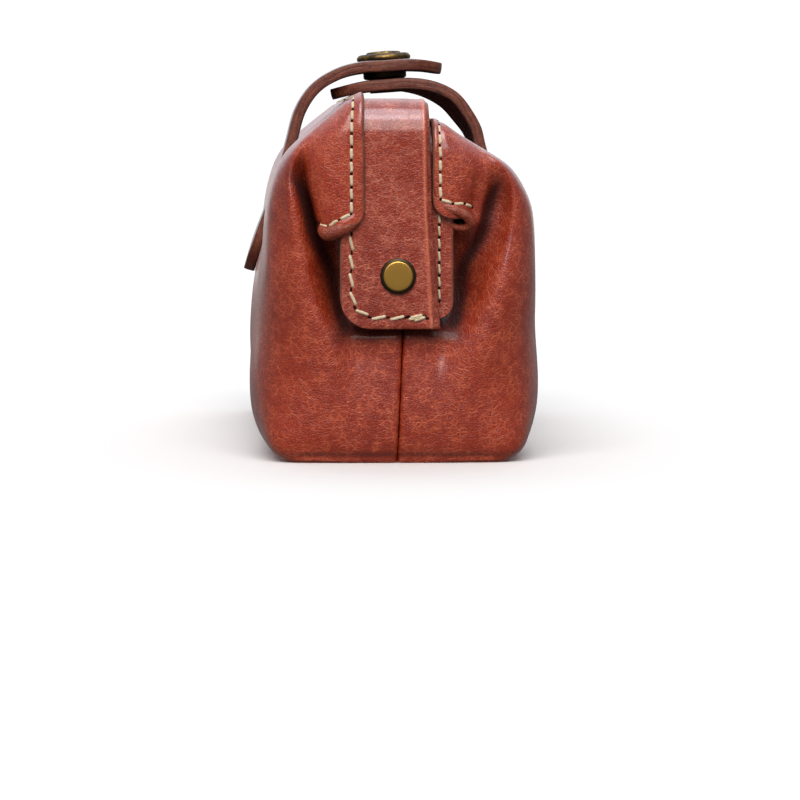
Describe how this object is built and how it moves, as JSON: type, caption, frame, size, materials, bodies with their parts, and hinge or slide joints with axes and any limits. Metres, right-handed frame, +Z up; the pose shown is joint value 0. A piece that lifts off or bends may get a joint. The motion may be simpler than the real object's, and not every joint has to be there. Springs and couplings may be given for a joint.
{
  "type": "frame clutch",
  "caption": "Leather frame clutch with wrapped frame strips riveted at both ends, pleated end gussets, and snap straps closing over the top.",
  "frame": {"origin": "middle of the flat base, on the surface that it stands on", "axes": "+X along the length, +Z up, -Y towards the front panel"},
  "size_m": [0.2202, 0.0785, 0.1075],
  "materials": {
    "body_leather": "pebbled chestnut leather, semi-gloss",
    "strip_leather": "pebbled chestnut leather, turned over a stay",
    "strap_leather": "brown strap leather with raw edges",
    "antique_brass": "aged brass, dark in the recesses"
  },
  "bodies": {
    "root": {"front_panel": "body_leather", "back_panel": "body_leather", "frame_strip_front": "strip_leather", "frame_strip_back": "strip_leather", "hinge_rivet_left": "antique_brass", "hinge_rivet_right": "antique_brass", "snap_strap_front": "strap_leather", "snap_strap_back": "strap_leather", "snap_cap": "antique_brass", "snap_stud": "antique_brass"}
  },
  "joints": []
}
